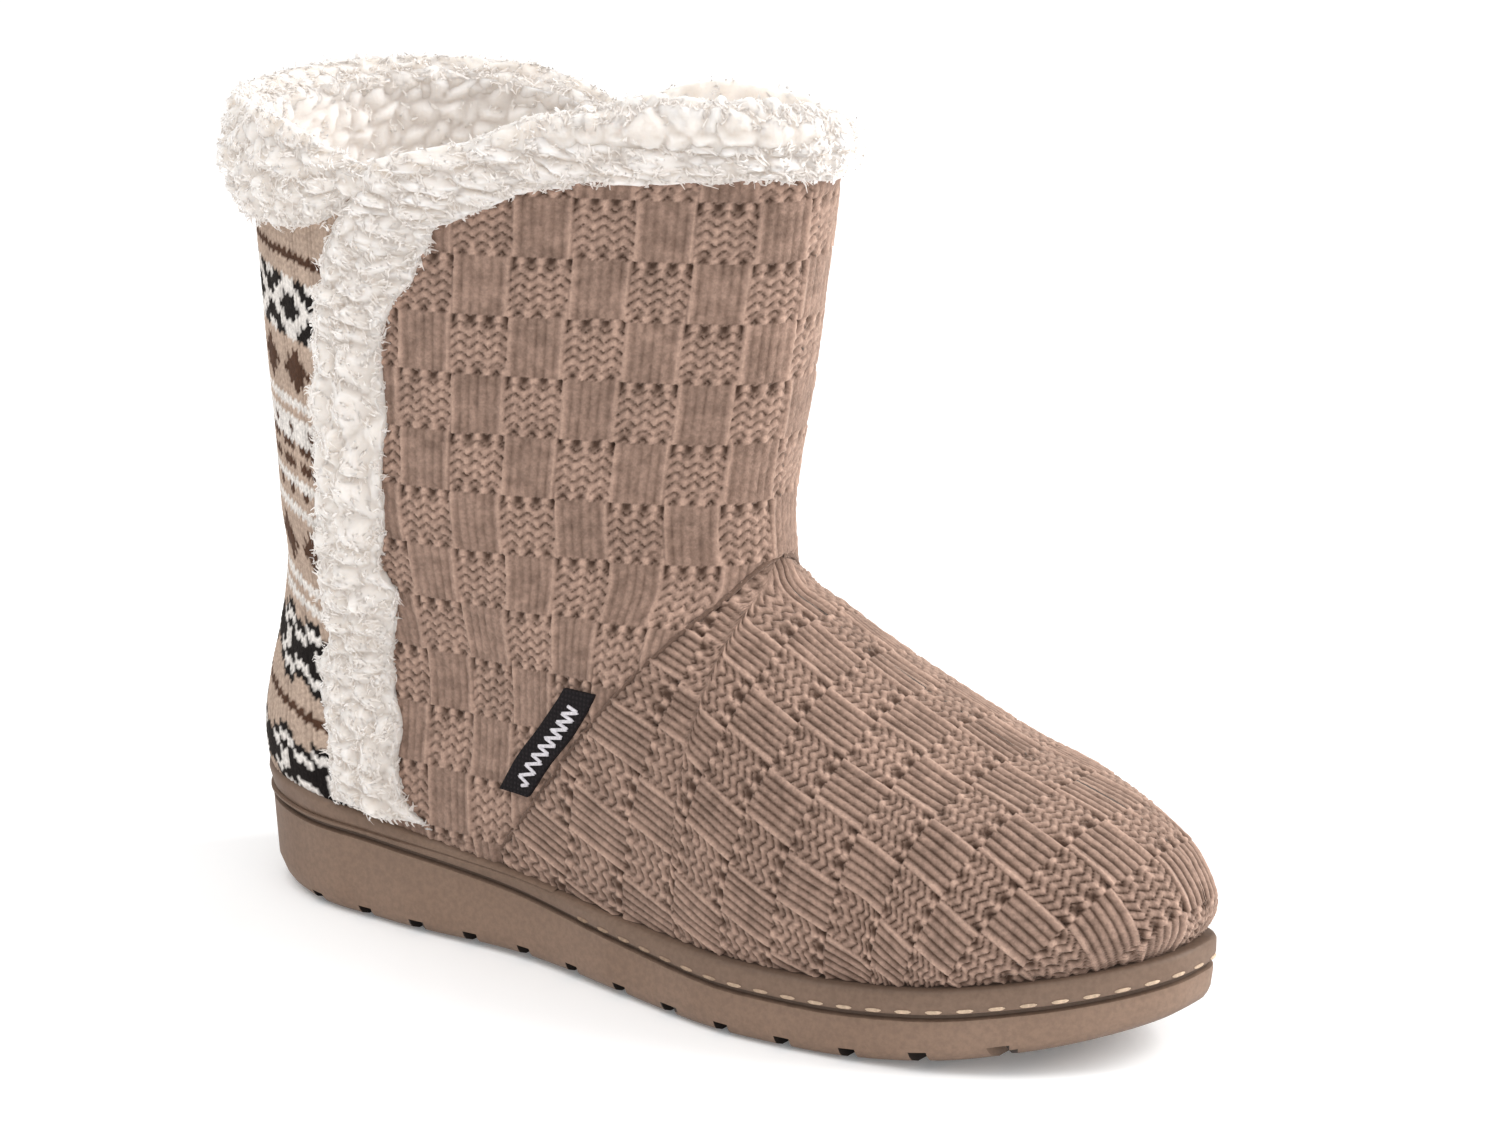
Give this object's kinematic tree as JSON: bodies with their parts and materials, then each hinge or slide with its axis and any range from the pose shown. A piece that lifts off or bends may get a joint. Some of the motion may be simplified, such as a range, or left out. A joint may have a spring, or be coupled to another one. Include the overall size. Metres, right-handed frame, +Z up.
{
  "type": "bootie slipper",
  "caption": "Right-foot pull-on bootie slipper: knitted foot and ankle shaft, sherpa side strips and collar trim, turned-down sherpa back cuff, moulded flat sole.",
  "frame": {"origin": "middle of the shoe's box at floor level", "axes": "+X to the toe, +Y to the inner side of the foot, +Z up"},
  "size_m": [0.2876, 0.1176, 0.2213],
  "materials": {
    "sole_rubber": "matte moulded",
    "knit": "chunky basket-stitch knit",
    "fleece": "deep curly pile",
    "footbed": "short fleece",
    "woven_label": "woven tape"
  },
  "bodies": {
    "root": {"outsole": "sole_rubber", "insole": "footbed", "upper": "knit", "front_trim": "fleece", "back_cuff": "fleece", "label_tab": "woven_label"}
  },
  "joints": []
}
